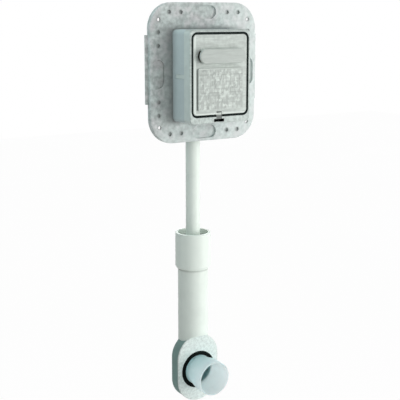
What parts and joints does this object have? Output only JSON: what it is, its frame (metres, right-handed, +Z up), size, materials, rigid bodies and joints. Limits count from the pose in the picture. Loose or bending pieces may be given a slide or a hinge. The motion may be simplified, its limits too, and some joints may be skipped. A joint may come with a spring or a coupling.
{
  "type": "concealed flush valve",
  "caption": "Concealed flushometer valve set: wall box with plaster flange and pull-off cover, piston flush valve inside, flush pipe and swivelling outlet bend.",
  "frame": {"origin": "in the wall plane that the flange's rim lies on, above the flush pipe and level with the flange's centre", "axes": "+Y into the wall, out of the flange's back; +Z up along the flush pipe; +X to the right as seen from the room"},
  "size_m": [0.174, 0.102, 0.5622],
  "materials": {
    "flange_plastic": "matte",
    "box_plastic": "satin",
    "frame_plastic": "satin",
    "cover_plastic": "satin",
    "latch_plastic": "matte",
    "black_rubber": "matte",
    "seal_rubber": "matte",
    "galvanised_steel": "satin",
    "screw_steel": "satin",
    "brass": "satin",
    "chromed_brass": "polished",
    "spring_steel": "bright",
    "natural_plastic": "satin",
    "blue_plastic": "satin",
    "pipe_plastic": "satin",
    "coupling_plastic": "satin",
    "bend_plastic": "satin",
    "face_plastic": "satin",
    "pad_foam": "matte",
    "connector_plastic": "frosted"
  },
  "bodies": {
    "wall_box": {"flange_plate": "flange_plastic", "box_shell": "box_plastic", "front_frame": "frame_plastic", "cover_gasket": "black_rubber", "valve_saddle": "galvanised_steel", "saddle_screws": "screw_steel", "saddle_clamp": "galvanised_steel", "clamp_screws": "screw_steel", "valve_body": "brass", "inlet_grommet": "black_rubber", "inlet_strainer": "natural_plastic", "stop_bonnet": "brass", "gland_ring": "black_rubber", "seat_ring": "brass", "cartridge_sleeve": "natural_plastic", "cartridge_ring": "black_rubber", "main_bonnet": "chromed_brass", "main_spring": "spring_steel", "rod_spring": "spring_steel", "vacuum_breaker": "blue_plastic", "pipe_olive": "black_rubber", "outlet_nut": "chromed_brass", "pipe_grommet": "black_rubber", "flush_pipe": "pipe_plastic"},
    "cover": {"front_cover": "cover_plastic"},
    "latch": {"cover_latch": "latch_plastic"},
    "spindle": {"stop_spindle": "chromed_brass"},
    "plug": {"stop_plug": "brass", "stop_washer": "black_rubber"},
    "piston_unit": {"piston": "natural_plastic", "piston_cup": "black_rubber", "seat_washer": "black_rubber"},
    "push_unit": {"push_rod": "chromed_brass", "pilot_washer": "black_rubber", "rod_button": "blue_plastic"},
    "coupling": {"slip_coupling": "coupling_plastic", "coupling_seal": "black_rubber"},
    "bend": {"outlet_bend": "bend_plastic", "backing_pad": "pad_foam", "face_plate": "face_plastic", "outlet_seal": "seal_rubber"},
    "connector": {"connector_tube": "connector_plastic"}
  },
  "joints": [
    {"name": "cover_pull", "type": "slide", "parent": "wall_box", "child": "cover", "axis": [0, -1, 0], "range_m": [0, 0.08]},
    {"name": "latch_press", "type": "slide", "parent": "cover", "child": "latch", "axis": [0, 0, 1], "range_m": [0, 0.0012], "stiffness_N_per_m": 600},
    {"name": "stop_turn", "type": "hinge", "parent": "wall_box", "child": "spindle", "pos_m": [0, 0, 0.031], "axis": [0, 1, 0], "range_deg": [0, 960]},
    {"name": "stop_close", "type": "slide", "parent": "wall_box", "child": "plug", "axis": [0, 1, 0], "range_m": [0, 0.004]},
    {"name": "rod_push", "type": "slide", "parent": "wall_box", "child": "push_unit", "axis": [0, 1, 0], "range_m": [0, 0.003], "stiffness_N_per_m": 400, "deforming": ["rod_spring"]},
    {"name": "piston_rise", "type": "slide", "parent": "wall_box", "child": "piston_unit", "axis": [0, -1, 0], "range_m": [0, 0.007], "deforming": ["main_spring"]},
    {"name": "drop_height", "type": "slide", "parent": "wall_box", "child": "coupling", "axis": [0, 0, 1], "range_m": [-0.02, 0.04]},
    {"name": "bend_swivel", "type": "hinge", "parent": "coupling", "child": "bend", "pos_m": [0, 0.0185, -0.25], "axis": [0, 0, 1], "continuous": true},
    {"name": "connector_slide", "type": "slide", "parent": "bend", "child": "connector", "axis": [0, -1, 0], "range_m": [-0.007, 0.008]}
  ],
  "couplings": [
    {"joint": "stop_close", "follows": "stop_turn", "m_per_rad": 0.00023873},
    {"joint": "piston_rise", "follows": "rod_push", "ratio": 2.3333}
  ]
}
